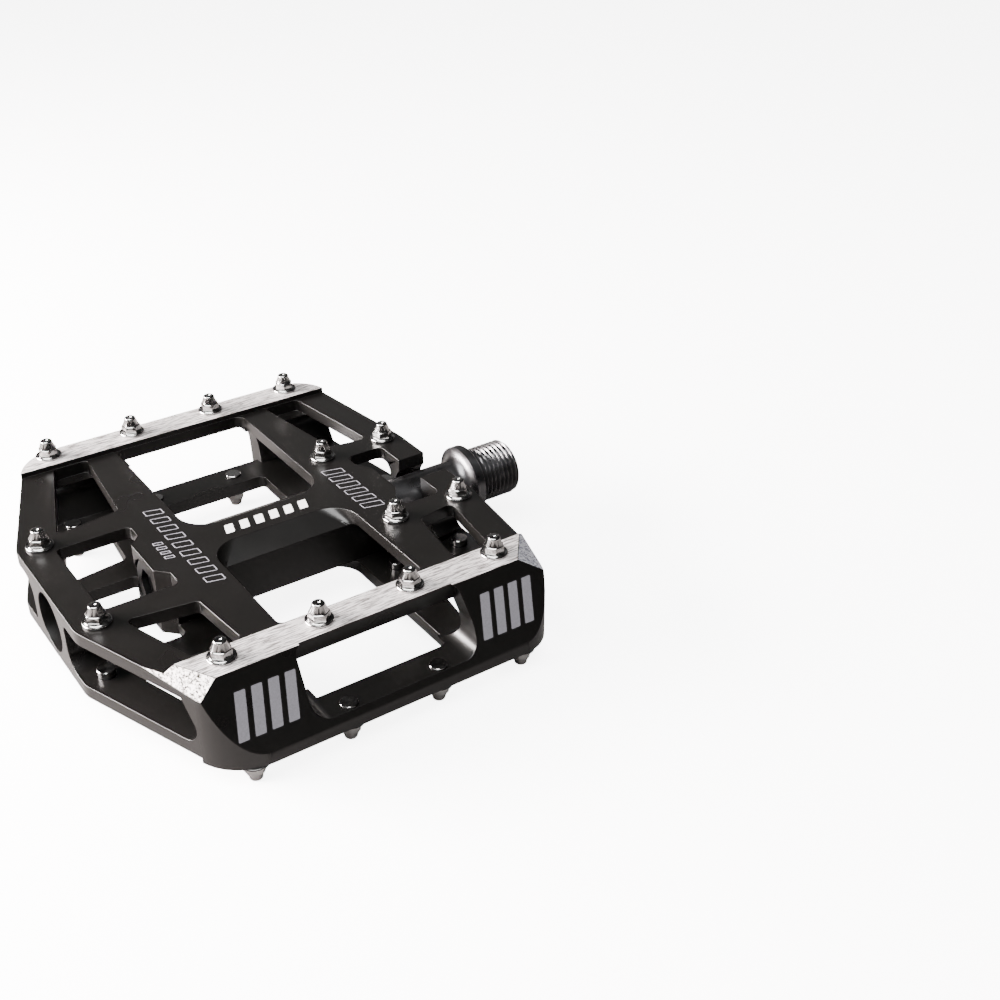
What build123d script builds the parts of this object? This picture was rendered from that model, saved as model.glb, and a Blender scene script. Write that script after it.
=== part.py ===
from build123d import *
from math import cos, pi, sin
import os

# Left-hand flat pedal: a hollow machined platform turning on a steel spindle.
# Lengths in millimetres. Inside the functions X runs along the spindle from the middle
# of the platform towards the crank, Y points backwards and Z up. save() then moves every
# piece so that the origin is on the spindle axis, on the collar face that meets the crank.
# The platform is the same both ways up: half a turn about the spindle maps it onto itself.

CRANK_FACE_X = 56.3          # collar face, measured from the middle of the platform

# Platform levels and walls
PLATE_TOP = 8.4              # outer surface of the upper plate
STRIP_TOP = 9.65             # raised edge strips
PLATE_UNDER = 5.3            # inner surface of the upper plate
HALF_DEPTH = 58.9            # spindle axis to the front and rear edges
BAND_TOP = -6.8              # top of the short upright band under the slanted front face
LEDGE_Y = 50.6               # upper edge of the slanted front face
RAIL_BACK_Y = 41.8           # inner edge of the front strip
FRONT_WALL = 5.8             # front wall, measured along Y
OUTBOARD_X = -53.7
INBOARD_X = 46.3

# Spine around the spindle
SPINE_TOP_HALF = 4.35        # half width of the spine between the big windows, on top
SPINE_HALF = 9.9             # half width of the spine and the posts under the plates
HUB_OUT_X = -31.4
HUB_IN_X = 31.5
OUT_WINDOW_X = -46.2         # outboard arm's inner edge
HORN_X = 38.9                # inner edge of the two horns beside the spindle

# Spindle and its seats
SHANK_R = 5.9
JOURNAL_R = 4.0
COLLAR_R = 8.9
THREAD_R = 7.14              # 9/16 inch pedal thread, left-hand
THREAD_LENGTH = 11.7         # collar face to the end of the spindle
BUSH_START, BUSH_END = 18.0, 28.0
BUSH_OUTER_R = 6.9
BUSH_CLEARANCE = 0.04
BEARING_OUTER_R = 7.0
BEARING_WIDTH = 4.0
BEARING_START = -22.0        # outboard face of the outer bearing
SHOULDER_X = BEARING_START + 2 * BEARING_WIDTH
MID_BORE_R = 6.2
NUT_END = -26.8

# Ball bearings, 8 x 14 x 4
BALL_R = 0.9
PITCH_R = 5.5
BALLS = 11
INNER_RACE_R = 5.05
OUTER_RACE_R = 5.95
SHIELD = 0.25

# Pins
PIN_SHANK_R = 2.0
PIN_HOLE_R = 2.05
PIN_SHANK = 4.8
PIN_FLANGE_R, PIN_FLANGE = 3.2, 0.8
PIN_HEX_ACROSS = 4.2
PIN_HEX_TOP = 2.3
PIN_TIP_R, PIN_TIP = 1.3, 4.5
RAIL_PIN_X = (-33.0, -11.0, 11.0, 33.0)
FRONT_PIN_Y = -45.3
REAR_PIN_Y = 55.8
PLATE_PIN_Y = 17.8
INBOARD_PIN_X = (24.1, 41.7)
OUTBOARD_PIN_X = (-48.45,)

BEYOND = 70.0                # reaches past the platform in any direction
MIN_Z = (Align.CENTER, Align.CENTER, Align.MIN)


# Helpers ---------------------------------------------------------------------

def rounded(corners):
    """Flat face from (x, y, radius) corners."""
    face = Face(Wire.make_polygon([(x, y) for x, y, _ in corners], close=True))
    for x, y, radius in corners:
        if radius:
            corner = face.vertices().sort_by_distance((x, y, 0))[0]
            face = face.fillet_2d(radius, [corner])
    return face


def prism(face, plane, start, end):
    """Face drawn in a plane's own axes, extruded along the plane's normal."""
    return extrude(plane.offset(start) * face, end - start, dir=plane.z_dir)


def turned(profile):
    """Solid of revolution about the spindle axis from (x, radius) points."""
    face = Face(Wire.make_polygon([(x, r) for x, r in profile], close=True))
    return revolve(face, Axis.X)


def ring(inner_r, outer_r, start, end):
    return turned([(start, inner_r), (end, inner_r), (end, outer_r), (start, outer_r)])


def rod(radius, start, end):
    return Plane.YZ.offset(start) * Cylinder(radius, end - start, align=MIN_Z)


def other_way_up(shape):
    return Rot(180, 0, 0) * shape


def mirrored_y(corners):
    return [(x, -y, radius) for x, y, radius in corners]


# Platform --------------------------------------------------------------------

def plan_solid():
    """Everything inside the outline seen from above."""
    half = [(INBOARD_X, 17.0, 12), (41.06, HALF_DEPTH, 9.8), (-38.8, HALF_DEPTH, 12.6),
            (OUTBOARD_X, 18.6, 8)]
    outline = rounded(mirrored_y(half) + half[::-1])
    return prism(outline, Plane.XY, -BEYOND, BEYOND)


def side_solid():
    """Everything inside the outline seen along the spindle."""
    front = [(-HALF_DEPTH, -STRIP_TOP), (-HALF_DEPTH, BAND_TOP), (-LEDGE_Y, STRIP_TOP),
             (-RAIL_BACK_Y, STRIP_TOP), (-RAIL_BACK_Y, PLATE_TOP), (LEDGE_Y, PLATE_TOP),
             (LEDGE_Y, STRIP_TOP)]
    rear = [(-y, -z) for y, z in front]
    return prism(rounded([(y, z, 0) for y, z in front + rear]), Plane.YZ, -BEYOND, BEYOND)


def corner_facets():
    """Planes that cut the two front upper corners; each is given by three points."""
    cutters = []
    outboard = ((-36.8, -50.6, 9.65), (-45.7, -40.1, 7.95), (-41.8, -52.2, 6.0))
    inboard = ((35.7, -50.7, 9.65), (41.4, -52.2, 6.0), (42.3, -42.1, 9.65))
    for first, second, third in (outboard, inboard):
        origin = Vector(first)
        along = Vector(second) - origin
        upward = along.cross(Vector(third) - origin)
        plane = Plane(origin, x_dir=along, z_dir=upward)
        cutters.append(plane * Box(60, 60, 30, align=MIN_Z))
    return cutters


def front_slope(z):
    """Y of the slanted front face at a height."""
    return -LEDGE_Y - (STRIP_TOP - z) * (HALF_DEPTH - LEDGE_Y) / (STRIP_TOP - BAND_TOP)


def hollow(half_width, upper_r, lower_r, start, end):
    """Front and rear spaces between the plates; the radii are those of the front one's post side."""
    upper = front_slope(PLATE_UNDER) + FRONT_WALL
    lower = front_slope(-PLATE_UNDER) + FRONT_WALL
    space = rounded([(upper, PLATE_UNDER, 0), (-half_width, PLATE_UNDER, upper_r),
                     (-half_width, -PLATE_UNDER, lower_r), (lower, -PLATE_UNDER, 3.5)])
    front = prism(space, Plane.YZ, start, end)
    return [front, other_way_up(front)]


def front_window():
    """Opening in the slanted front face, below and in front of the rail."""
    outline = rounded([(-19.8, 9.9, 2.5), (19.4, 9.9, 2.5), (20.9, 0.8, 8), (20.3, -PLATE_UNDER, 4.2),
                       (-19.8, -PLATE_UNDER, 4.2)])
    opening = prism(outline, Plane.XZ, LEDGE_Y - 12, BEYOND)
    rail = rounded([(-LEDGE_Y + 0.35, 12, 0), (-LEDGE_Y + 1.4, PLATE_UNDER, 0),
                    (0, PLATE_UNDER, 0), (0, 12, 0)])
    return opening - prism(rail, Plane.YZ, -BEYOND, BEYOND)


def big_window(end_y, end_r):
    """Window beside the spine; its spine edge slopes down to the spine's full width."""
    def at(z, spine_y, spine_r):
        side = 1 if end_y > 0 else -1
        return Pos(0, 0, z) * rounded([(-17.8, side * spine_y, spine_r), (17.3, side * spine_y, spine_r),
                                       (17.3, end_y, end_r), (-17.8, end_y, end_r)])
    drop = PLATE_TOP - PLATE_UNDER
    slope = (SPINE_HALF - SPINE_TOP_HALF) / drop
    overrun = 0.4
    above = SPINE_TOP_HALF - overrun * slope
    return loft([at(PLATE_UNDER, SPINE_HALF, 2.0), at(PLATE_TOP + overrun, above, 8.0)], ruled=True)


def along_edge(first, last, y):
    """Point of the straight edge between two points at a given y."""
    part = (y - first[1]) / (last[1] - first[1])
    return first[0] + part * (last[0] - first[0]), y


def small_windows(side):
    """Corner windows of the upper plate, on one side of the spindle; they narrow outwards."""
    end = 50.4 if side > 0 else 40.2
    windows = []
    for outer, inner in ((((-43.8, 20.4), (-33.8, 50.4)), ((-28.0, 22.7), (-25.3, 50.4))),
                         (((38.2, 20.1), (33.9, 50.4)), ((28.4, 21.6), (24.4, 50.4)))):
        corners = [outer[0], along_edge(*outer, end), along_edge(*inner, end), inner[0]]
        outline = rounded([(x, side * y, 1.3) for x, y in corners])
        windows.append(prism(outline, Plane.XY, PLATE_UNDER, BEYOND))
    return windows


def middle_openings():
    """Openings in line with the spindle: outboard of the hub, and between hub and horns."""
    outboard = [(OUT_WINDOW_X, 14.2, 1.5), (OUT_WINDOW_X, -14.2, 1.5), (-28.6, -14.2, 1.5),
                (-28.6, -9.3, 0), (HUB_OUT_X, -6.3, 0), (HUB_OUT_X, 6.3, 0), (-28.6, 9.3, 0),
                (-28.6, 14.2, 1.5)]
    inboard = [(HORN_X, 14.0, 1.8), (HORN_X, -14.0, 1.8), (29.0, -14.0, 1.8), (29.0, -9.9, 0),
               (HUB_IN_X, -5.5, 0), (HUB_IN_X, 5.5, 0), (29.0, 9.9, 0), (29.0, 14.0, 1.8)]
    return [prism(rounded(outline), Plane.XY, -BEYOND, BEYOND) for outline in (outboard, inboard)]


def horn_gap():
    """Gap between the two horns, round where the spindle passes."""
    slot = Pos(INBOARD_X, 0, 0) * Box(2 * (INBOARD_X - HORN_X) + 1, 10.2, 2 * BEYOND)
    return [slot, rod(7.3, HORN_X - 1, BEYOND)]


def bores():
    """Stepped bore through the hub and the round hole in the outboard wall."""
    return [rod(BEARING_OUTER_R, HUB_OUT_X - 1, SHOULDER_X),
            rod(MID_BORE_R, SHOULDER_X - 1, BUSH_START + 1),
            rod(BUSH_OUTER_R, BUSH_START, HUB_IN_X + 1),
            rod(6.95, -BEYOND, OUT_WINDOW_X + 1)]


def pin_places():
    """Pin groups of the upper side: name, then (x, y, seat height) of each pin."""
    return {
        "front_rail": [(x, FRONT_PIN_Y, STRIP_TOP) for x in RAIL_PIN_X],
        "rear_rail": [(x, REAR_PIN_Y, STRIP_TOP) for x in RAIL_PIN_X],
        "inboard": [(x, y, PLATE_TOP) for x in INBOARD_PIN_X for y in (-PLATE_PIN_Y, PLATE_PIN_Y)],
        "outboard": [(x, y, PLATE_TOP) for x in OUTBOARD_PIN_X for y in (-PLATE_PIN_Y, PLATE_PIN_Y)],
    }


def pin_holes():
    """Holes as deep as the pins' shanks; they open into the hollow where there is one."""
    depth = PIN_SHANK + 0.05
    return [Pos(x, y, seat - depth) * Cylinder(PIN_HOLE_R, BEYOND, align=MIN_Z)
            for group in pin_places().values() for x, y, seat in group]


def pedal_body():
    body = plan_solid() & side_solid()
    one_side = corner_facets() + [front_window(), big_window(-40.2, 1.5), big_window(50.4, 2.5)]
    one_side += small_windows(-1) + small_windows(1) + pin_holes()
    cutters = one_side + [other_way_up(cutter) for cutter in one_side]
    cutters += hollow(10.2, 1.5, 4.5, -BEYOND, OUT_WINDOW_X)
    cutters += hollow(SPINE_HALF, 0, 0, OUT_WINDOW_X, HORN_X)
    cutters += hollow(9.5, 3.0, 3.0, HORN_X, BEYOND)
    cutters += middle_openings() + horn_gap() + bores()
    return body - cutters


# Spindle and its fittings ----------------------------------------------------

def spindle():
    end = CRANK_FACE_X + THREAD_LENGTH
    collar = 2.5
    sweep = 3.0                      # concave run-up from the shank to the collar
    arc = [(CRANK_FACE_X - collar - sweep * (1 - sin(a * pi / 12)), SHANK_R + sweep * (1 - cos(a * pi / 12)))
           for a in range(7)]
    profile = [(-27.6, 0), (-27.6, 2.6), (-27.2, 3.0), (BEARING_START, 3.0),
               (BEARING_START, JOURNAL_R), (SHOULDER_X, JOURNAL_R), (SHOULDER_X, 5.0),
               (BUSH_START - 1, SHANK_R)]
    profile += arc
    profile += [(CRANK_FACE_X - collar + 0.3, COLLAR_R), (CRANK_FACE_X - 0.3, COLLAR_R),
                (CRANK_FACE_X, COLLAR_R - 0.3), (CRANK_FACE_X, THREAD_R), (end - 0.6, THREAD_R),
                (end, THREAD_R - 0.6), (end, 0)]
    socket = extrude(RegularPolygon(3.0, 6, major_radius=False), -8)
    tip_cone = Pos(0, 0, -8) * Cone(0.5, 3.0, 1.2, align=(Align.CENTER, Align.CENTER, Align.MAX))
    return turned(profile) - Plane.YZ.offset(end) * (socket + tip_cone)


def inboard_bush():
    return ring(SHANK_R + BUSH_CLEARANCE, BUSH_OUTER_R, BUSH_START, BUSH_END)


def inboard_seal():
    """Lip seal: a stiff outer ring with one lip on each side of a thin web."""
    start, end = BUSH_END + 0.2, HUB_IN_X - 0.3
    lip_r = SHANK_R + 0.06
    middle = (start + end) / 2
    return turned([(start, BUSH_OUTER_R), (end, BUSH_OUTER_R), (end, 6.45), (middle + 0.45, 6.35),
                   (end - 0.1, lip_r + 0.1), (end - 0.2, lip_r), (middle + 0.3, lip_r + 0.2),
                   (middle - 0.3, lip_r + 0.2), (start + 0.2, lip_r), (start + 0.1, lip_r + 0.1),
                   (middle - 0.45, 6.35), (start, 6.45)])


def bearing(start):
    """Pieces of one ball bearing whose outboard face is at start."""
    end = start + BEARING_WIDTH
    middle = (start + end) / 2
    track = Pos(middle, 0, 0) * (Rot(0, 90, 0) * Torus(PITCH_R, BALL_R + 0.03))
    places = [Rot(360 * i / BALLS, 0, 0) * Pos(middle, PITCH_R, 0) for i in range(BALLS)]
    pockets = [place * Sphere(BALL_R + 0.08) for place in places]
    return {
        "inner_race": ring(JOURNAL_R, INNER_RACE_R, start, end) - track,
        "outer_race": ring(OUTER_RACE_R, BEARING_OUTER_R, start, end) - track,
        "balls": [place * Sphere(BALL_R) for place in places],
        "cage": ring(PITCH_R - 0.25, PITCH_R + 0.25, middle - 1.2, middle + 1.2) - pockets,
        "shields": [ring(INNER_RACE_R + 0.1, OUTER_RACE_R, face, face + SHIELD)
                    for face in (start, end - SHIELD)],
    }


def thrust_washer():
    return ring(3.1, 5.0, BEARING_START - 0.8, BEARING_START)


def lock_nut():
    start = BEARING_START - 0.8
    across = 9.0
    hexagon = extrude(RegularPolygon(across / 2, 6, major_radius=False), start - NUT_END)
    nut = Plane.YZ.offset(NUT_END) * hexagon
    bevel = turned([(NUT_END, 0), (NUT_END, across / 2 - 0.1), (NUT_END + 0.5, across / 2 + 0.8),
                    (start, across / 2 + 0.8), (start, 0)])
    return (nut & bevel) - rod(3.0, NUT_END - 1, start + 1)


def end_cap():
    """Cup whose skirt holds the outer races in the hub; hexagon socket in its face."""
    face = HUB_OUT_X + 0.5
    floor = -28.6
    groove_floor = BEARING_OUTER_R - 1.1
    cup = turned([(face, 0), (face, 6.6), (face + 0.3, 6.95), (face + 0.6, 6.95), (face + 0.6, groove_floor),
                  (face + 1.8, groove_floor), (face + 1.8, 6.95), (BEARING_START, 6.95),
                  (BEARING_START, 6.15), (floor, 6.15), (floor, 0)])
    return cup - Plane.YZ.offset(face) * extrude(RegularPolygon(4.0, 6, major_radius=False), 1.5)


def end_cap_oring():
    section_r = 0.55
    place = Pos(HUB_OUT_X + 0.5 + 1.2, 0, 0) * Rot(0, 90, 0)
    return place * Torus(BEARING_OUTER_R - section_r, section_r)


def pin():
    """Screw-in pin, seat at Z = 0: threaded shank below, flange, hexagon and cone above."""
    shank = Pos(0, 0, -PIN_SHANK) * Cylinder(PIN_SHANK_R, PIN_SHANK + 0.1, align=MIN_Z)
    shank = chamfer(shank.edges().sort_by(Axis.Z)[0], 0.12)
    flange = Cylinder(PIN_FLANGE_R, PIN_FLANGE, align=MIN_Z)
    flange = fillet(flange.edges().sort_by(Axis.Z)[-1], 0.3)
    hexagon = extrude(RegularPolygon(PIN_HEX_ACROSS / 2, 6, major_radius=False), PIN_HEX_TOP)
    tip_height = PIN_TIP - PIN_HEX_TOP
    tip = Pos(0, 0, PIN_HEX_TOP) * Cone(PIN_HEX_ACROSS / 2, PIN_TIP_R, tip_height, align=MIN_Z)
    tip = fillet(tip.edges().sort_by(Axis.Z)[-1], 0.35)
    return shank + flange + hexagon + tip


# Assembly --------------------------------------------------------------------

def save(name, shapes):
    """Write one node; shapes is a single shape or a list of separate ones."""
    shapes = shapes if isinstance(shapes, list) else [shapes]
    solids = [Pos(-CRANK_FACE_X, 0, 0) * solid for shape in shapes for solid in shape.solids()]
    export_step(solids[0] if len(solids) == 1 else Compound(solids), f"parts/{name}.step")


def build():
    os.makedirs("parts", exist_ok=True)
    pieces = {
        "pedal_body": pedal_body(), "spindle": spindle(), "inboard_bush": inboard_bush(),
        "inboard_seal": inboard_seal(), "thrust_washer": thrust_washer(), "lock_nut": lock_nut(),
        "end_cap": end_cap(), "end_cap_oring": end_cap_oring(),
    }
    for label, start in (("outer", BEARING_START), ("inner", BEARING_START + BEARING_WIDTH)):
        for piece, shape in bearing(start).items():
            pieces[f"{label}_bearing_{piece}"] = shape
    one_pin = pin()
    for group, places in pin_places().items():
        upper = [Pos(place) * one_pin for place in places]
        pieces[f"upper_{group}_pins"] = upper
        pieces[f"lower_{group}_pins"] = [other_way_up(shape) for shape in upper]
    for name, shapes in pieces.items():
        save(name, shapes)


build()
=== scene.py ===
# %% [markdown]
# # A flat pedal, part by part
# A flat pedal is a hollow aluminium platform that turns on a steel spindle. Shoes stand on it
# without clips, so both sides carry small steel pins that bite into the sole.
# The CAD model gives every piece its place and size. This script keeps those places and gives
# the pieces their real surfaces: milled and anodised metal, bare brushed edges, turned steel.

# %% Load the frame
import bmesh
import bpy
import math
from mathutils import Matrix, Vector


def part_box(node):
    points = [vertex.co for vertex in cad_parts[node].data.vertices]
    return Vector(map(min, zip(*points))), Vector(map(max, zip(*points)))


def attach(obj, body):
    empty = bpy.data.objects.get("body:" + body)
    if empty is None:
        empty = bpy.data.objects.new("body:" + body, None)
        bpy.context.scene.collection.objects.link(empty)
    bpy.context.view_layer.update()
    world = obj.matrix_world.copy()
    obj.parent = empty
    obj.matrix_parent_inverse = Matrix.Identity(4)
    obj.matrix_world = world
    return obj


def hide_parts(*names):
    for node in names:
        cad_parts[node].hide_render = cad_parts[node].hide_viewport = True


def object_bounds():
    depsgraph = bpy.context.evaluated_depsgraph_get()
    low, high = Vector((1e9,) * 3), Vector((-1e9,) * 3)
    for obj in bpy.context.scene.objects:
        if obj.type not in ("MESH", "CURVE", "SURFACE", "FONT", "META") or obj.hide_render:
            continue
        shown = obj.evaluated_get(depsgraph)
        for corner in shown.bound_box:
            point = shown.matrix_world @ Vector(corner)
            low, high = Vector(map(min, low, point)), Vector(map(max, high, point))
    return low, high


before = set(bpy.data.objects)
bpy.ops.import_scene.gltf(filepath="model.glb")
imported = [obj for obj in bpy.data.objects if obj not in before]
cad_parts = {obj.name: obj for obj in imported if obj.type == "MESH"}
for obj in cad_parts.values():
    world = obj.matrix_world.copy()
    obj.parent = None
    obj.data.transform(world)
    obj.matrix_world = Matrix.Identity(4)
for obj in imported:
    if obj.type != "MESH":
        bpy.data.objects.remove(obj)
CAD_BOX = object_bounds()
MM = 0.001


# %% [markdown]
# ## The view
# The camera stands in front of the pedal's outer end and looks down on it. A long lens keeps
# the platform's edges nearly parallel.

# %% Camera
AIM_AZIMUTH = -35.126
AIM_DOWN = 30.828
EYE = Vector((-167.54, -252.72, 174.21)) * MM

camera = bpy.data.objects.new("camera", bpy.data.cameras.new("camera"))
camera.data.sensor_width = 36.0
camera.data.lens = 48.6
camera.data.clip_start = 0.01
camera.location = EYE
camera.rotation_euler = (math.radians(90 - AIM_DOWN), 0, math.radians(AIM_AZIMUTH))
bpy.context.scene.collection.objects.link(camera)
bpy.context.scene.camera = camera
print("camera to spindle axis, mm:", round((EYE - Vector((-0.0563, 0, 0))).length / MM))


# %% [markdown]
# ## Floor and light
# Black metal has almost no colour of its own: what the eye reads is what it reflects. So the
# room is dark and a few wide soft panels draw the highlights. A dim panel far behind the
# pedal shades the top plate from dark to light, one low on the left lights the outer wall, and
# one overhead fills the bare metal. The floor is pale to look at but dark in reflections,
# as if the pedal stood on white paper that the studio's flags kept out of the metal.

# %% Floor
def plain_object(name, vertices, faces):
    mesh = bpy.data.meshes.new(name)
    mesh.from_pydata(vertices, [], faces)
    made = bpy.data.objects.new(name, mesh)
    bpy.context.scene.collection.objects.link(made)
    return made


FLOOR_Z = CAD_BOX[0].z - 0.05 * MM
REACH = 6.0
around = ((-REACH, -REACH), (REACH, -REACH), (REACH, REACH), (-REACH, REACH))
corners = [(x, y, FLOOR_Z) for x, y in around]
floor = plain_object("floor", corners, [(0, 1, 2, 3)])
floor_finish = bpy.data.materials.new("pale_floor")
floor_finish.use_nodes = True
floor_tree = floor_finish.node_tree
seen = floor_tree.nodes["Principled BSDF"]
seen.inputs["Base Color"].default_value = (0.9, 0.9, 0.9, 1)
seen.inputs["Roughness"].default_value = 0.8
seen.inputs["Emission Color"].default_value = (1, 1, 1, 1)
seen.inputs["Emission Strength"].default_value = 6.0
reflected = floor_tree.nodes.new("ShaderNodeBsdfDiffuse")
reflected.inputs["Color"].default_value = (0.2, 0.19, 0.185, 1)
direct = floor_tree.nodes.new("ShaderNodeLightPath")
either = floor_tree.nodes.new("ShaderNodeMixShader")
floor_tree.links.new(direct.outputs["Is Camera Ray"], either.inputs[0])
floor_tree.links.new(reflected.outputs[0], either.inputs[1])
floor_tree.links.new(seen.outputs[0], either.inputs[2])
floor_tree.links.new(either.outputs[0], floor_tree.nodes["Material Output"].inputs["Surface"])
floor.data.materials.append(floor_finish)


# %% Soft panels
def panel(name, place, aim, size, power, colour=(1, 1, 1)):
    """A rectangular area light at place, pointing at aim; distances in metres, power in watts."""
    light = bpy.data.lights.new(name, "AREA")
    light.shape = "RECTANGLE"
    light.size, light.size_y = size
    light.energy = power
    light.color = colour
    lamp = bpy.data.objects.new(name, light)
    bpy.context.scene.collection.objects.link(lamp)
    lamp.location = place
    lamp.rotation_euler = (Vector(aim) - Vector(place)).to_track_quat("-Z", "Y").to_euler()
    return lamp


CENTRE = (-0.05, 0, 0)
panel("overhead", (-0.35, -0.15, 0.9), CENTRE, (1.0, 0.6), 34)
panel("behind", (0.6, 1.03, 0.53), CENTRE, (1.0, 0.4), 0.35)
panel("left", (-0.465, 0.235, 0.16), (-0.12, 0.02, 0), (0.4, 0.2), 42, (1.0, 0.93, 0.91))

world = bpy.data.worlds.new("studio")
world.use_nodes = True
world.node_tree.nodes["Background"].inputs["Color"].default_value = (1, 1, 1, 1)
world.node_tree.nodes["Background"].inputs["Strength"].default_value = 0.02
bpy.context.scene.world = world


# %% [markdown]
# ## A small helper for materials
# Each finish is a Principled shader with a few texture nodes in front of it. The helper adds a
# node in one line: settings by name, and each input either a number or another node's socket.
# All patterns read Object coordinates, which are the CAD's own metres.

# %% Material helper
class Finish:
    """A material built node by node around its Principled shader."""

    def __init__(self, name, **inputs):
        self.material = bpy.data.materials.new(name)
        self.material.use_nodes = True
        self.tree = self.material.node_tree
        self.shader = self.tree.nodes["Principled BSDF"]
        self.place = self.node("ShaderNodeTexCoord").outputs["Object"]
        self.set(self.shader, inputs)

    def set(self, node, inputs):
        for label, value in inputs.items():
            by_number = label[1:].isdigit()
            socket = node.inputs[int(label[1:]) if by_number else label.replace("_", " ")]
            if isinstance(value, bpy.types.NodeSocket):
                self.tree.links.new(value, socket)
            else:
                socket.default_value = value

    def node(self, kind, settings=None, **inputs):
        made = self.tree.nodes.new(kind)
        for label, value in (settings or {}).items():
            setattr(made, label, value)
        self.set(made, inputs)
        return made

    def stretched(self, scale):
        """Object coordinates multiplied along each axis: a large number makes fine detail."""
        return self.node("ShaderNodeMapping", Vector=self.place, Scale=scale).outputs["Vector"]

    def grain(self, scale, detail=2.0, roughness=0.5, distortion=0.0):
        """Noise from 0 to 1, in cells of 1/scale metres along each axis."""
        return self.node("ShaderNodeTexNoise", Vector=self.stretched(scale), Scale=1.0, Detail=detail,
                         Roughness=roughness, Distortion=distortion).outputs["Fac"]

    def between(self, factor, low, high, start=0.3, end=0.7):
        """Number that goes from low to high while the factor goes from start to end."""
        return self.node("ShaderNodeMapRange", Value=factor, From_Min=start, From_Max=end,
                         To_Min=low, To_Max=high).outputs["Result"]

    def shade(self, factor, low, high, start=0.3, end=0.7):
        """Colour that goes from low to high while the factor goes from start to end."""
        ramp = self.node("ShaderNodeValToRGB", Fac=factor)
        ramp.color_ramp.elements[0].position = start
        ramp.color_ramp.elements[1].position = end
        ramp.color_ramp.elements[0].color = (*low, 1)
        ramp.color_ramp.elements[1].color = (*high, 1)
        return ramp.outputs["Color"]

    def relief(self, height, depth):
        """Bump from a 0 to 1 height; depth in metres."""
        bump = self.node("ShaderNodeBump", Height=height, Distance=depth, Strength=1.0)
        self.set(self.shader, {"Normal": bump.outputs["Normal"]})

    def finish(self, **inputs):
        self.set(self.shader, inputs)
        return self.material


# %% [markdown]
# ## Black anodised aluminium
# The platform is milled, blasted with fine glass beads and anodised black. The dyed oxide
# swallows most of the light, and what is left is a broad, slightly warm sheen on its surface.
# A fine bump stands for the blasting, and slow noise in the roughness keeps wide faces from
# looking flat.

# %% Anodised finish
def anodised(name, tint=(0.0026, 0.0023, 0.0021)):
    made = Finish(name, Metallic=0.0, IOR=1.45)
    blast = made.grain((4200, 4200, 4200), detail=3.0)
    clouds = made.grain((70, 70, 70), detail=2.0)
    made.relief(blast, 0.003 * MM)
    colour = made.shade(blast, [0.7 * c for c in tint], [1.3 * c for c in tint])
    return made.finish(Base_Color=colour, Roughness=made.between(clouds, 0.27, 0.33))


BODY_BLACK = anodised("body_black_anodised")
CAP_BLACK = anodised("cap_black_anodised", (0.0025, 0.0025, 0.0025))
print("anodised finishes:", BODY_BLACK.name, CAP_BLACK.name)


# %% [markdown]
# ## Bare brushed metal
# After anodising, the raised edge strips are cut back to bright metal. A belt leaves long
# streaks along the strip, and the cutter leaves a coarser texture on the two corner facets.
# It is one recipe with three grain shapes: noise stretched along the direction of the cut.

# %% Bare metal finish
def bare_metal(name, grain_scale, dark, bright, depth, distortion=0.0, roughness=(0.5, 0.7)):
    made = Finish(name, Metallic=1.0)
    streaks = made.grain(grain_scale, detail=4.0, roughness=0.65, distortion=distortion)
    made.relief(streaks, depth * MM)
    return made.finish(Base_Color=made.shade(streaks, dark, bright, 0.40, 0.56),
                       Roughness=made.between(streaks, roughness[1], roughness[0]))


STRIP_METAL = bare_metal("strip_brushed", (260, 2300, 2300), (0.20, 0.185, 0.18), (1.0, 0.95, 0.94), 0.05)
STIPPLED_METAL = bare_metal("facet_stippled", (2100, 1400, 2100), (0.02, 0.018, 0.017),
                            (0.58, 0.545, 0.53), 0.09)
SWIRLED_METAL = bare_metal("facet_swirled", (700, 1100, 900), (0.30, 0.30, 0.36), (0.95, 0.95, 1.0), 0.05,
                           distortion=1.6)


# %% [markdown]
# ## Turned, plated and rubber finishes
# The spindle is turned on a lathe, so its marks run round it: noise that varies only along X.
# Pins and nuts are plated. Seals and shields are matt rubber, the bush a pale dry polymer.

# %% Other finishes
def turned_steel(name, colour, roughness):
    made = Finish(name, Metallic=1.0)
    marks = made.grain((5200, 6, 6), detail=3.0)
    haze = made.grain((240, 240, 240), detail=3.0)
    made.relief(marks, 0.006 * MM)
    tone = made.shade(marks, [0.82 * c for c in colour], colour)
    return made.finish(Base_Color=tone, Roughness=made.between(haze, roughness, 1.5 * roughness))


def plated(name, colour, roughness):
    made = Finish(name, Metallic=1.0)
    haze = made.grain((900, 900, 900), detail=3.0)
    made.relief(haze, 0.003 * MM)
    tone = made.shade(haze, [0.85 * c for c in colour], colour)
    return made.finish(Base_Color=tone, Roughness=made.between(haze, roughness, 1.7 * roughness))


def soft_matt(name, colour, roughness):
    made = Finish(name)
    skin = made.grain((2600, 2600, 2600), detail=3.0)
    made.relief(skin, 0.02 * MM)
    tone = made.shade(skin, [0.8 * c for c in colour], colour)
    return made.finish(Base_Color=tone, Roughness=made.between(skin, roughness, min(1.0, 1.15 * roughness)))


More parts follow.
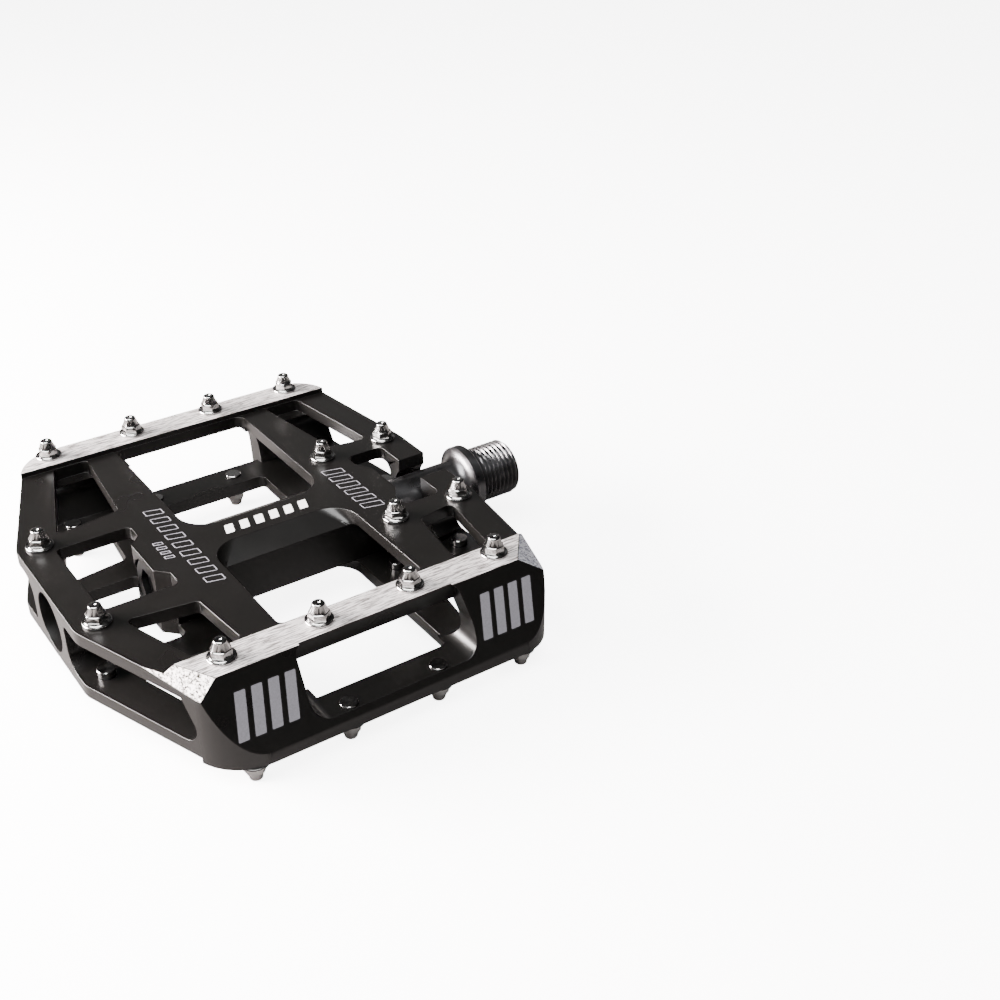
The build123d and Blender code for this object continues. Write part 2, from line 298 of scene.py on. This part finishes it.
SPINDLE_STEEL = turned_steel("spindle_turned", (0.12, 0.118, 0.122), 0.25)
BEARING_STEEL = turned_steel("bearing_ground", (0.72, 0.72, 0.72), 0.10)
PIN_STEEL = plated("pin_plated", (0.36, 0.355, 0.35), 0.14)
NUT_STEEL = plated("nut_zinc", (0.60, 0.61, 0.62), 0.26)
CAGE_BRASS = plated("cage_brass", (0.80, 0.58, 0.26), 0.25)
SEAL_RUBBER = soft_matt("seal_rubber", (0.022, 0.022, 0.023), 0.7)
BUSH_POLYMER = soft_matt("bush_polymer", (0.55, 0.50, 0.36), 0.6)
MARK_GREY = soft_matt("mark_grey", (0.17, 0.165, 0.185), 0.55)
MARK_WHITE = soft_matt("mark_white", (0.80, 0.78, 0.77), 0.5)


# %% [markdown]
# ## The platform
# The CAD gives the milled shape with knife-sharp edges. A real milled edge is broken with a
# small round that catches the light, and that thin line is what makes the
# shape readable on black. A copy of the CAD mesh is merged, its flat faces are joined, and a
# Bevel modifier rounds every edge. The bare strips and facets are then picked by where their
# faces lie and which way they look.

# %% Mesh helpers
def link(name, mesh):
    made = bpy.data.objects.new(name, mesh)
    bpy.context.scene.collection.objects.link(made)
    return made


def plain_mesh(worker, name):
    """The worker's evaluated mesh as a finished object; the worker is removed."""
    graph = bpy.context.evaluated_depsgraph_get()
    mesh = bpy.data.meshes.new_from_object(worker.evaluated_get(graph), depsgraph=graph)
    bpy.data.objects.remove(worker)
    mesh.name = name
    return link(name, mesh)


def smooth_sides(mesh, angle):
    """Smooth shading, with a sharp edge wherever two faces meet at more than angle degrees."""
    mesh.polygons.foreach_set("use_smooth", [True] * len(mesh.polygons))
    mesh.set_sharp_from_angle(angle=math.radians(angle))


# %% Bevelled platform
EDGE_BREAK = 0.10 * MM
EDGE_ANGLE = 28
FLAT = math.radians(0.4)


def merged_copy(node, name):
    shape = bmesh.new()
    shape.from_mesh(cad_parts[node].data)
    bmesh.ops.remove_doubles(shape, verts=shape.verts, dist=0.002 * MM)
    bmesh.ops.dissolve_limit(shape, angle_limit=FLAT, verts=shape.verts, edges=shape.edges)
    mesh = bpy.data.meshes.new(name)
    shape.to_mesh(mesh)
    shape.free()
    return link(name, mesh)


platform_worker = merged_copy("pedal_body", "platform_worker")
platform_worker.data.materials.clear()
smooth_sides(platform_worker.data, EDGE_ANGLE)
bevel = platform_worker.modifiers.new("edge_break", "BEVEL")
bevel.width = EDGE_BREAK
bevel.segments = 2
bevel.limit_method = "ANGLE"
bevel.angle_limit = math.radians(EDGE_ANGLE)
bevel.use_clamp_overlap = False
even = platform_worker.modifiers.new("flat_faces_stay_flat", "WEIGHTED_NORMAL")
even.mode = "FACE_AREA"
even.weight = 100
platform = plain_mesh(platform_worker, "platform")
print("platform faces:", len(platform.data.polygons))


# %% Bare areas of the platform
STRIP_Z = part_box("pedal_body")[1].z
OUTER_FACET = Vector((-0.615, -0.359, 1)).normalized()
INNER_FACET = Vector((0.793 * 0.672, -0.609 * 0.672, 1)).normalized()
CLOSE = math.cos(math.radians(4))

for finish in (BODY_BLACK, STRIP_METAL, STIPPLED_METAL, SWIRLED_METAL):
    platform.data.materials.append(finish)
for face in platform.data.polygons:
    turn = 1 if face.center.z > 0 else -1
    normal = Vector((face.normal.x, turn * face.normal.y, turn * face.normal.z))
    if normal.z > 0.999 and abs(face.center.z) > STRIP_Z - 0.05 * MM:
        face.material_index = 1
    elif normal.dot(OUTER_FACET) > CLOSE and face.center.x < 0:
        face.material_index = 2
    elif normal.dot(INNER_FACET) > CLOSE:
        face.material_index = 3
    else:
        face.material_index = 0
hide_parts("pedal_body")
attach(platform, "platform")


# %% [markdown]
# ## Turned and threaded steel
# Spindle and pins are stacks of rings: each ring has a place along the axis and a radius that
# may change with the angle. A constant radius gives a turned surface, a hexagon gives the
# spanner flats and key socket, and a radius that follows a helix cuts a real screw thread.

# %% Ring shapes
def round_ring(radius):
    return lambda angle: radius


def hexagon(across):
    """Radius of a hexagon measured across its flats."""
    def radius(angle):
        from_flat = (angle + math.pi / 6) % (math.pi / 3) - math.pi / 6
        return across / 2 / math.cos(from_flat)
    return radius


def chamfered_hexagon(across, limit):
    flats = hexagon(across)
    return lambda angle: min(flats(angle), limit)


def thread_ring(place, outer, depth, pitch, hand):
    """Radius of a vee thread with narrow flat crests and roots at one place on the axis."""
    def radius(angle):
        turn = (place / pitch - hand * angle / (2 * math.pi)) % 1.0
        rise = min(1.0, max(0.0, (1 - abs(2 * turn - 1)) * 1.25 - 0.125))
        return outer - depth * rise
    return radius


def stack_of_rings(name, rings, segments, along):
    """Closed mesh through rings of (place, radius function); along turns it to its axis."""
    shape = bmesh.new()
    angles = [2 * math.pi * i / segments for i in range(segments)]
    loops = []
    for place, radius in rings:
        points = [Vector((radius(a) * math.cos(a), radius(a) * math.sin(a), place)) for a in angles]
        loops.append([shape.verts.new(along @ point) for point in points])
    for lower, upper in zip(loops, loops[1:]):
        for i in range(segments):
            j = (i + 1) % segments
            shape.faces.new((lower[i], lower[j], upper[j], upper[i]))
    shape.faces.new(loops[0][::-1])
    shape.faces.new(loops[-1])
    bmesh.ops.recalc_face_normals(shape, faces=shape.faces)
    mesh = bpy.data.meshes.new(name)
    shape.to_mesh(mesh)
    shape.free()
    return mesh


def threaded_stretch(start, end, outer, depth, pitch, hand, steps, shape_limit):
    """Rings of a thread; shape_limit(place) caps the radius at a chamfer or run-out."""
    rings = []
    count = int(round((end - start) / pitch * steps))
    for i in range(count + 1):
        place = start + (end - start) * i / count
        thread = thread_ring(place, outer, depth, pitch, hand)
        limit = shape_limit(place)
        rings.append((place, lambda angle, thread=thread, limit=limit: min(thread(angle), limit)))
    return rings


# %% [markdown]
# ## The spindle
# From the thin end to the crank: an M6 end for the lock nut, the bearing seat, a long taper,
# the polished shank that runs in the bush, a concave run-up to the collar, and the 9/16 inch
# pedal thread. A left pedal has a left-hand thread, so that pedalling doesn't unscrew it.
# A hexagon socket in the end takes the key.

# %% Spindle
TPI_PITCH = 25.4 / 20
spindle_low, spindle_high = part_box("spindle")
race_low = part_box("outer_bearing_inner_race")[0].x / MM
race_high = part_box("inner_bearing_inner_race")[1].x / MM
bush_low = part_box("inboard_bush")[0].x / MM
END_X = spindle_high.x / MM
THIN_END_X = spindle_low.x / MM
COLLAR_R = spindle_high.z / MM
SHANK_R, JOURNAL_R, M6_R, CRANK_R = 5.9, 4.0, 3.0, 7.14
COLLAR_X = -2.5
RELIEF_X, RELIEF_R = 1.3, 6.35
RUN_UP = 3.0
SOCKET_DEPTH, KEY_ACROSS = 8.0, 6.0
ALONG_X = Matrix.Scale(MM, 4) @ Matrix.Rotation(math.pi / 2, 4, "Y")

rings = [(THIN_END_X, round_ring(2.55))]
rings += threaded_stretch(THIN_END_X + 0.4, race_low - 0.2, M6_R, 0.6, 1.0, 1, 10,
                          lambda x: min(M6_R, 2.6 + (x - THIN_END_X - 0.4)))
rings += [(race_low - 0.1, round_ring(2.5)), (race_low, round_ring(2.5)),
          (race_low, round_ring(JOURNAL_R)), (race_high, round_ring(JOURNAL_R)),
          (race_high, round_ring(5.0)), (bush_low - 1, round_ring(SHANK_R)),
          (COLLAR_X - RUN_UP - 0.02, round_ring(SHANK_R))]
for i in range(1, 13):
    sweep = i / 12 * math.pi / 2
    place = COLLAR_X - RUN_UP * (1 - math.sin(sweep))
    rings.append((place, round_ring(SHANK_R + RUN_UP * (1 - math.cos(sweep)))))
rings += [(COLLAR_X + 0.3, round_ring(COLLAR_R)), (-0.3, round_ring(COLLAR_R)),
          (0, round_ring(COLLAR_R - 0.3)), (0, round_ring(RELIEF_R + 0.3)),
          (0.3, round_ring(RELIEF_R)), (RELIEF_X - 0.1, round_ring(RELIEF_R))]
rings += threaded_stretch(RELIEF_X, END_X - 0.15, CRANK_R, 0.74, TPI_PITCH, -1, 12,
                          lambda x: min(CRANK_R, RELIEF_R + (x - RELIEF_X) * 1.2,
                                        CRANK_R - 0.55 + (END_X - x)))
key = hexagon(KEY_ACROSS)
rings += [(END_X, round_ring(6.45)), (END_X, round_ring(3.62)),
          (END_X - 0.25, chamfered_hexagon(KEY_ACROSS, 3.4)),
          (END_X - 0.45, key), (END_X - SOCKET_DEPTH, key), (END_X - SOCKET_DEPTH - 1.1, round_ring(0.5))]
spindle = link("spindle_turned", stack_of_rings("spindle_turned", rings, 96, ALONG_X))
smooth_sides(spindle.data, 32)
spindle.data.materials.append(SPINDLE_STEEL)
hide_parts("spindle")
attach(spindle, "spindle_set")
print("spindle rings:", len(rings))


# %% [markdown]
# ## One grip pin
# A pin is an M4 screw with a flange, a hexagon for a small spanner, and a blunt cone that
# grips the sole and keeps faint traces of the hexagon. The shank screws into the plate and
# ends plain. The tip has a small centre mark from the lathe.

# %% Pin mesh
def ring_arc(place, radius, size, start, end, steps):
    """Rings along a small round edge; start and end are angles in degrees from the axis."""
    return [(place + size * math.cos(math.radians(start + (end - start) * i / steps)),
             round_ring(radius + size * math.sin(math.radians(start + (end - start) * i / steps))))
            for i in range(steps + 1)]


UPRIGHT = Matrix.Scale(MM, 4)
rail_low, rail_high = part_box("upper_front_rail_pins")
PIN_LENGTH = (rail_high.z - rail_low.z) / MM
SHANK_LENGTH = 4.8
PLAIN_FROM = 2.9
TIP_Z = PIN_LENGTH - SHANK_LENGTH
pin_rings = [(-SHANK_LENGTH, round_ring(1.88)), (-SHANK_LENGTH + 0.12, round_ring(2.0)),
             (-PLAIN_FROM, round_ring(2.0))]
pin_rings += threaded_stretch(-PLAIN_FROM, -0.3, 2.0, 0.36, 0.7, 1, 8, lambda z: 2.0)
pin_rings += [(0, round_ring(1.9)), (0, round_ring(2.9))]
pin_rings += ring_arc(0.3, 2.9, 0.3, 180, 0, 6)
pin_rings += [(0.5, round_ring(2.6)), (0.62, round_ring(2.45)), (0.62, chamfered_hexagon(4.2, 2.3)),
              (0.75, hexagon(4.2)), (2.05, hexagon(4.2)), (2.3, chamfered_hexagon(4.2, 2.22)),
              (2.42, chamfered_hexagon(3.85, 2.06)), (3.95, chamfered_hexagon(2.72, 1.46))]
pin_rings += ring_arc(TIP_Z - 0.45, 1.0, 0.45, 75, 0, 5)
pin_rings += [(TIP_Z, round_ring(0.42)), (TIP_Z - 0.18, round_ring(0.3)), (TIP_Z - 0.3, round_ring(0.08))]
pin_mesh = stack_of_rings("grip_pin", pin_rings, 36, UPRIGHT)
smooth_sides(pin_mesh, 30)
pin_mesh.materials.append(PIN_STEEL)
pin_master = link("pin_master", pin_mesh)
print("faces of one pin:", len(pin_mesh.polygons))


# %% [markdown]
# ## Rows of pins
# The pins of a group stand on a small grid, so Geometry Nodes place them: a grid of points, one
# pin on each, turned by a random angle because every pin stops at its own tightness. The tree
# has named inputs, and the same tree makes all eight groups.

# %% Geometry Nodes helper
class Tree:
    """A Geometry Nodes tree built one node per call."""

    def __init__(self, name, inputs):
        self.group = bpy.data.node_groups.new(name, "GeometryNodeTree")
        self.sockets = {}
        for label, kind in inputs:
            self.sockets[label] = self.group.interface.new_socket(label, in_out="INPUT", socket_type=kind)
        self.group.interface.new_socket("Geometry", in_out="OUTPUT", socket_type="NodeSocketGeometry")
        self.given = self.group.nodes.new("NodeGroupInput").outputs
        self.result = self.group.nodes.new("NodeGroupOutput").inputs["Geometry"]

    def node(self, kind, settings=None, **inputs):
        made = self.group.nodes.new(kind)
        for label, value in (settings or {}).items():
            setattr(made, label, value)
        for label, value in inputs.items():
            by_number = label[1:].isdigit()
            socket = made.inputs[int(label[1:]) if by_number else label.replace("_", " ")]
            if isinstance(value, bpy.types.NodeSocket):
                self.group.links.new(value, socket)
            else:
                socket.default_value = value
        return made

    def close(self, geometry, material):
        """End the tree: real geometry instead of instances, and one material on it."""
        real = self.node("GeometryNodeRealizeInstances", Geometry=geometry).outputs[0]
        painted = self.node("GeometryNodeSetMaterial", Geometry=real, Material=material).outputs[0]
        self.group.links.new(painted, self.result)

    def run(self, name, values):
        """Make a plain mesh object from the tree with the given input values."""
        worker = link(name + "_worker", bpy.data.meshes.new(name))
        modifier = worker.modifiers.new("tree", "NODES")
        modifier.node_group = self.group
        for label, value in values.items():
            modifier[self.sockets[label].identifier] = value
        return plain_mesh(worker, name)


# %% Grid of pins tree
pin_tree = Tree("Grid of pins", [("Pin", "NodeSocketObject"), ("Columns", "NodeSocketInt"),
                                 ("Rows", "NodeSocketInt"), ("Width", "NodeSocketFloat"),
                                 ("Depth", "NodeSocketFloat"), ("Middle", "NodeSocketVector"),
                                 ("Flip", "NodeSocketVector"), ("Seed", "NodeSocketInt"),
                                 ("Material", "NodeSocketMaterial")])
given = pin_tree.given
grid = pin_tree.node("GeometryNodeMeshGrid", Size_X=given["Width"], Size_Y=given["Depth"],
                     Vertices_X=given["Columns"], Vertices_Y=given["Rows"])
points = pin_tree.node("GeometryNodeMeshToPoints", Mesh=grid.outputs["Mesh"])
one_pin = pin_tree.node("GeometryNodeObjectInfo", Object=given["Pin"])
spin = pin_tree.node("FunctionNodeRandomValue", {"data_type": "FLOAT"}, _2=0.0, _3=math.pi / 3,
                     Seed=given["Seed"])
turn = pin_tree.node("ShaderNodeCombineXYZ", Z=spin.outputs[1])
pins = pin_tree.node("GeometryNodeInstanceOnPoints", Points=points.outputs[0],
                     Instance=one_pin.outputs["Geometry"], Rotation=turn.outputs[0])
placed = pin_tree.node("GeometryNodeTransform", Geometry=pins.outputs[0], Translation=given["Middle"],
                       Rotation=given["Flip"])
pin_tree.close(placed.outputs[0], given["Material"])


# %% Eight groups of pins
PIN_GRIDS = {"front_rail": (4, 1), "rear_rail": (4, 1), "inboard": (2, 2), "outboard": (1, 2)}
FLANGE_R = 3.2 * MM
for side, flip, seed in (("upper", 0.0, 3), ("lower", math.pi, 11)):
    for group, (columns, rows) in PIN_GRIDS.items():
        node = f"{side}_{group}_pins"
        low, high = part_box(node)
        seat = high.z - TIP_Z * MM if side == "upper" else low.z + TIP_Z * MM
        made = pin_tree.run(node + "_screws", {
            "Pin": pin_master, "Columns": columns, "Rows": rows,
            "Width": high.x - low.x - 2 * FLANGE_R, "Depth": high.y - low.y - 2 * FLANGE_R,
            "Middle": ((low.x + high.x) / 2, (low.y + high.y) / 2, seat),
            "Flip": (flip, 0.0, 0.0), "Seed": seed + columns + 5 * rows, "Material": PIN_STEEL})
        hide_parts(node)
        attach(made, "platform")
        print(node, "faces:", len(made.data.polygons))
bpy.data.objects.remove(pin_master)


# %% [markdown]
# ## Laser marks
# The anodised faces carry light laser-etched decoration. Here it is a plain pattern of leaning
# bars: wide grey ones on the slanted front faces, small white ones on the spine and outlined
# ones on the two crosses. One Geometry Nodes tree draws them all: a parallelogram with rounded
# corners, a second one inside it where only the outline is wanted, filled, given a thickness
# of a few hundredths of a millimetre, and repeated along a line.

# %% Row of marks tree
mark_tree = Tree("Row of marks", [("Count", "NodeSocketInt"), ("Pitch", "NodeSocketFloat"),
                                  ("Width", "NodeSocketFloat"), ("Height", "NodeSocketFloat"),
                                  ("Slant", "NodeSocketFloat"), ("Corner", "NodeSocketFloat"),
                                  ("Line", "NodeSocketFloat"), ("Outlined", "NodeSocketBool"),
                                  ("Middle", "NodeSocketVector"), ("Turn", "NodeSocketVector"),
                                  ("Material", "NodeSocketMaterial")])
MARK_THICKNESS = 0.03 * MM
given = mark_tree.given


def arithmetic(operation, first, second):
    return mark_tree.node("ShaderNodeMath", {"operation": operation}, _0=first, _1=second).outputs[0]


def bar_curve(shrink):
    """Rounded parallelogram, each side moved inwards by shrink."""
    twice = arithmetic("MULTIPLY", shrink, 2.0)
    bar = mark_tree.node("GeometryNodeCurvePrimitiveQuadrilateral", {"mode": "PARALLELOGRAM"},
                         _0=arithmetic("SUBTRACT", given["Width"], twice),
                         _1=arithmetic("SUBTRACT", given["Height"], twice), _4=given["Slant"])
    corner = arithmetic("MAXIMUM", arithmetic("SUBTRACT", given["Corner"], shrink), 0.02 * MM)
    return mark_tree.node("GeometryNodeFilletCurve", {"mode": "POLY"}, Curve=bar.outputs[0],
                          Radius=corner, Count=4).outputs[0]


outer_bar = bar_curve(0.0)
inner_bar = bar_curve(given["Line"])
both = mark_tree.node("GeometryNodeJoinGeometry")
mark_tree.group.links.new(outer_bar, both.inputs[0])
mark_tree.group.links.new(inner_bar, both.inputs[0])
chosen = mark_tree.node("GeometryNodeSwitch", {"input_type": "GEOMETRY"}, Switch=given["Outlined"],
                        _1=outer_bar, _2=both.outputs[0])
sheet = mark_tree.node("GeometryNodeFillCurve", Curve=chosen.outputs[0]).outputs[0]
raised = mark_tree.node("GeometryNodeExtrudeMesh", {"mode": "FACES"}, Mesh=sheet,
                        Offset_Scale=MARK_THICKNESS, Individual=False).outputs[0]
under = mark_tree.node("GeometryNodeFlipFaces", Mesh=sheet).outputs[0]
closed = mark_tree.node("GeometryNodeJoinGeometry")
mark_tree.group.links.new(raised, closed.inputs[0])
mark_tree.group.links.new(under, closed.inputs[0])
plate = mark_tree.node("GeometryNodeMergeByDistance", Geometry=closed.outputs[0],
                       Distance=0.001 * MM).outputs[0]
step = mark_tree.node("ShaderNodeCombineXYZ", X=given["Pitch"]).outputs[0]
gaps = arithmetic("SUBTRACT", given["Count"], 1.0)
half_row = arithmetic("MULTIPLY", arithmetic("MULTIPLY", gaps, given["Pitch"]), -0.5)
first = mark_tree.node("ShaderNodeCombineXYZ", X=half_row).outputs[0]
line = mark_tree.node("GeometryNodeMeshLine", {"mode": "OFFSET"}, Count=given["Count"],
                      Start_Location=first, Offset=step).outputs[0]
row = mark_tree.node("GeometryNodeInstanceOnPoints", Points=line, Instance=plate).outputs[0]
placed = mark_tree.node("GeometryNodeTransform", Geometry=row, Translation=given["Middle"],
                        Rotation=given["Turn"])
mark_tree.close(placed.outputs[0], given["Material"])


# %% Rows of marks
MIDDLE_X = -56.3
PLATE_Z = 8.41
SLOPE = math.radians(63.2)
SLOPE_Y, SLOPE_Z = -54.72, 1.51
ALONG_Y = math.pi / 2
MARK_LINE = 0.22 * MM
# Each row: count, pitch, width, height, slant, corner radius, outlined, middle, turn, finish.
MARK_ROWS = {
    "slope_outboard": (4, 3.7, 2.4, 10.0, 2.0, 0.25, False,
                       (-28.5, SLOPE_Y, SLOPE_Z), (SLOPE, 0, 0), MARK_GREY),
    "slope_inboard": (4, 3.7, 2.4, 10.0, 2.0, 0.25, False,
                      (30.0, SLOPE_Y, SLOPE_Z), (SLOPE, 0, 0), MARK_GREY),
    "spine": (6, 3.8, 2.1, 3.6, 1.0, 0.15, False, (-0.5, 0, PLATE_Z), (0, 0, 0), MARK_WHITE),
    "inboard_cross": (6, 3.8, 2.4, 5.2, 1.2, 0.3, True, (22.6, 0, PLATE_Z), (0, 0, ALONG_Y), MARK_GREY),
    "outboard_cross": (9, 4.2, 2.4, 4.2, 1.0, 0.3, True, (-21.6, 0, PLATE_Z), (0, 0, ALONG_Y), MARK_GREY),
    "outboard_short": (4, 2.2, 1.2, 2.2, 0.5, 0.15, True, (-26.2, 0, PLATE_Z), (0, 0, ALONG_Y), MARK_GREY),
}
for side, flip, over in (("upper", 1, 0.0), ("lower", -1, math.pi)):
    for row_name, row in MARK_ROWS.items():
        count, pitch, width, height, slant, corner, outlined, (x, y, z), turned, finish = row
        made = mark_tree.run(f"marks_{side}_{row_name}", {
            "Count": count, "Pitch": pitch * MM, "Width": width * MM, "Height": height * MM,
            "Slant": slant * MM, "Corner": corner * MM, "Line": MARK_LINE, "Outlined": outlined,
            "Middle": ((MIDDLE_X + x) * MM, flip * y * MM, flip * z * MM),
            "Turn": (turned[0] + over, turned[1], turned[2]), "Material": finish})
        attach(made, "platform")
        print(made.name, "faces:", len(made.data.polygons))


# %% [markdown]
# ## Bearings, seals and small fittings
# These sit inside the hub and keep their CAD shape. Each takes the finish of what it is made
# of: ground steel races and balls, a brass cage, rubber shields and seals, a polymer bush.

# %% Finishes for the CAD pieces
INNER_FINISHES = {
    "inner_race": BEARING_STEEL, "outer_race": BEARING_STEEL, "balls": BEARING_STEEL,
    "cage": CAGE_BRASS, "shields": SEAL_RUBBER,
}
fittings = {"inboard_bush": BUSH_POLYMER, "inboard_seal": SEAL_RUBBER, "thrust_washer": NUT_STEEL,
            "lock_nut": NUT_STEEL, "end_cap": CAP_BLACK, "end_cap_oring": SEAL_RUBBER}
for bearing in ("outer_bearing", "inner_bearing"):
    fittings.update({f"{bearing}_{piece}": finish for piece, finish in INNER_FINISHES.items()})
for node, finish in fittings.items():
    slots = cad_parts[node].material_slots
    for slot in slots:
        slot.material = finish
print("CAD pieces with a finish:", len(fittings))
